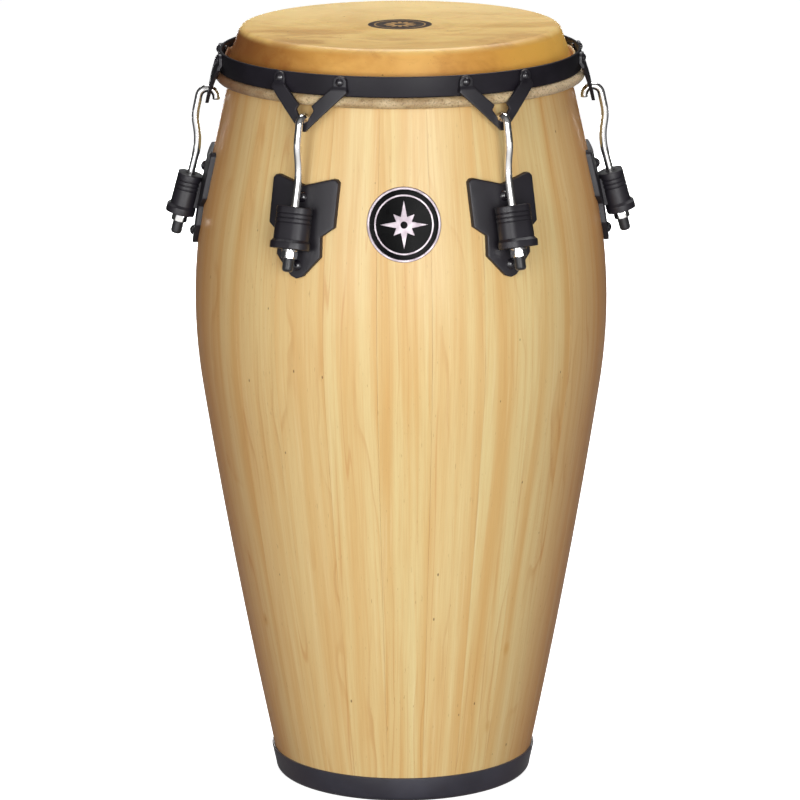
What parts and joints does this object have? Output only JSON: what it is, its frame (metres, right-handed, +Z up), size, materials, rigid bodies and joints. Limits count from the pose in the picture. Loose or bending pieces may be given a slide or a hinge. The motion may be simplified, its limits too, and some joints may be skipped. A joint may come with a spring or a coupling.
{
  "type": "conga drum",
  "caption": "Staved hardwood conga drum with a rawhide head on a low clawed rim, hook rods drawn down through cast shell lugs by nuts, a rubber foot and a round plain badge.",
  "frame": {"origin": "centre of the rubber foot's underside, on the floor", "axes": "+Z up along the shell's axis to the head; the badge faces -Y; tuning stations every 60 degrees from +X"},
  "size_m": [0.4354, 0.3858, 0.7112],
  "materials": {
    "wood": "clear satin lacquer over pale hardwood",
    "foot_rubber": "matte moulded rubber",
    "black_steel": "satin black powder coat",
    "chrome": "polished chrome plate",
    "zinc_steel": "bright zinc plate",
    "cap_rubber": "matte rubber",
    "rawhide": "natural rawhide, satin, mottled amber",
    "badge_black": "gloss black enamel",
    "badge_silver": "bright bezel"
  },
  "bodies": {
    "shell": {"shell_staves": "wood", "foot_bumper": "foot_rubber", "badge_bezel": "badge_silver", "badge_face": "badge_black", "backing_plates": "zinc_steel", "plate_bolts": "black_steel", "plate_washers": "zinc_steel", "plate_nuts": "zinc_steel", "tuning_washers": "zinc_steel", "lug_plate_1": "black_steel", "lug_plate_2": "black_steel", "lug_plate_3": "black_steel", "lug_plate_4": "black_steel", "lug_plate_5": "black_steel", "lug_plate_6": "black_steel", "lug_barrel_1": "black_steel", "lug_barrel_2": "black_steel", "lug_barrel_3": "black_steel", "lug_barrel_4": "black_steel", "lug_barrel_5": "black_steel", "lug_barrel_6": "black_steel"},
    "rim": {"rim_band": "black_steel", "rim_rivets": "black_steel", "flesh_hoop": "zinc_steel", "head_skin": "rawhide", "rim_claw_1": "black_steel", "rim_claw_2": "black_steel", "rim_claw_3": "black_steel", "rim_claw_4": "black_steel", "rim_claw_5": "black_steel", "rim_claw_6": "black_steel"},
    "hook_1": {"tension_hook_1": "chrome", "rod_cap_1": "cap_rubber"},
    "hook_2": {"tension_hook_2": "chrome", "rod_cap_2": "cap_rubber"},
    "hook_3": {"tension_hook_3": "chrome", "rod_cap_3": "cap_rubber"},
    "hook_4": {"tension_hook_4": "chrome", "rod_cap_4": "cap_rubber"},
    "hook_5": {"tension_hook_5": "chrome", "rod_cap_5": "cap_rubber"},
    "hook_6": {"tension_hook_6": "chrome", "rod_cap_6": "cap_rubber"},
    "nut_1": {"tuning_nut_1": "chrome"},
    "nut_2": {"tuning_nut_2": "chrome"},
    "nut_3": {"tuning_nut_3": "chrome"},
    "nut_4": {"tuning_nut_4": "chrome"},
    "nut_5": {"tuning_nut_5": "chrome"},
    "nut_6": {"tuning_nut_6": "chrome"}
  },
  "joints": [
    {"name": "rim_slide", "type": "slide", "parent": "shell", "child": "rim", "axis": [0, 0, -1], "range_m": [0, 0.006], "deforming": ["head_skin"]},
    {"name": "hook_1_slide", "type": "slide", "parent": "shell", "child": "hook_1", "axis": [0.2554, 0, -0.9668], "range_m": [0, 0.0063]},
    {"name": "hook_2_slide", "type": "slide", "parent": "shell", "child": "hook_2", "axis": [0.1277, 0.2212, -0.9668], "range_m": [0, 0.0063]},
    {"name": "hook_3_slide", "type": "slide", "parent": "shell", "child": "hook_3", "axis": [-0.1277, 0.2212, -0.9668], "range_m": [0, 0.0063]},
    {"name": "hook_4_slide", "type": "slide", "parent": "shell", "child": "hook_4", "axis": [-0.2554, 0, -0.9668], "range_m": [0, 0.0063]},
    {"name": "hook_5_slide", "type": "slide", "parent": "shell", "child": "hook_5", "axis": [-0.1277, -0.2212, -0.9668], "range_m": [0, 0.0063]},
    {"name": "hook_6_slide", "type": "slide", "parent": "shell", "child": "hook_6", "axis": [0.1277, -0.2212, -0.9668], "range_m": [0, 0.0063]},
    {"name": "nut_1_spin", "type": "hinge", "parent": "shell", "child": "nut_1", "pos_m": [0.2053, 0, 0.53149], "axis": [-0.2554, 0, 0.9668], "range_deg": [0, 1800]},
    {"name": "nut_2_spin", "type": "hinge", "parent": "shell", "child": "nut_2", "pos_m": [0.10265, 0.17779, 0.53149], "axis": [-0.1277, -0.2212, 0.9668], "range_deg": [0, 1800]},
    {"name": "nut_3_spin", "type": "hinge", "parent": "shell", "child": "nut_3", "pos_m": [-0.10265, 0.17779, 0.53149], "axis": [0.1277, -0.2212, 0.9668], "range_deg": [0, 1800]},
    {"name": "nut_4_spin", "type": "hinge", "parent": "shell", "child": "nut_4", "pos_m": [-0.2053, 0, 0.53149], "axis": [0.2554, 0, 0.9668], "range_deg": [0, 1800]},
    {"name": "nut_5_spin", "type": "hinge", "parent": "shell", "child": "nut_5", "pos_m": [-0.10265, -0.17779, 0.53149], "axis": [0.1277, 0.2212, 0.9668], "range_deg": [0, 1800]},
    {"name": "nut_6_spin", "type": "hinge", "parent": "shell", "child": "nut_6", "pos_m": [0.10265, -0.17779, 0.53149], "axis": [-0.1277, 0.2212, 0.9668], "range_deg": [0, 1800]}
  ],
  "couplings": [
    {"joint": "hook_1_slide", "follows": "rim_slide", "ratio": 1.0343},
    {"joint": "hook_2_slide", "follows": "rim_slide", "ratio": 1.0343},
    {"joint": "hook_3_slide", "follows": "rim_slide", "ratio": 1.0343},
    {"joint": "hook_4_slide", "follows": "rim_slide", "ratio": 1.0343},
    {"joint": "hook_5_slide", "follows": "rim_slide", "ratio": 1.0343},
    {"joint": "hook_6_slide", "follows": "rim_slide", "ratio": 1.0343},
    {"joint": "nut_1_spin", "follows": "rim_slide", "rad_per_m": 5199},
    {"joint": "nut_2_spin", "follows": "rim_slide", "rad_per_m": 5199},
    {"joint": "nut_3_spin", "follows": "rim_slide", "rad_per_m": 5199},
    {"joint": "nut_4_spin", "follows": "rim_slide", "rad_per_m": 5199},
    {"joint": "nut_5_spin", "follows": "rim_slide", "rad_per_m": 5199},
    {"joint": "nut_6_spin", "follows": "rim_slide", "rad_per_m": 5199}
  ]
}
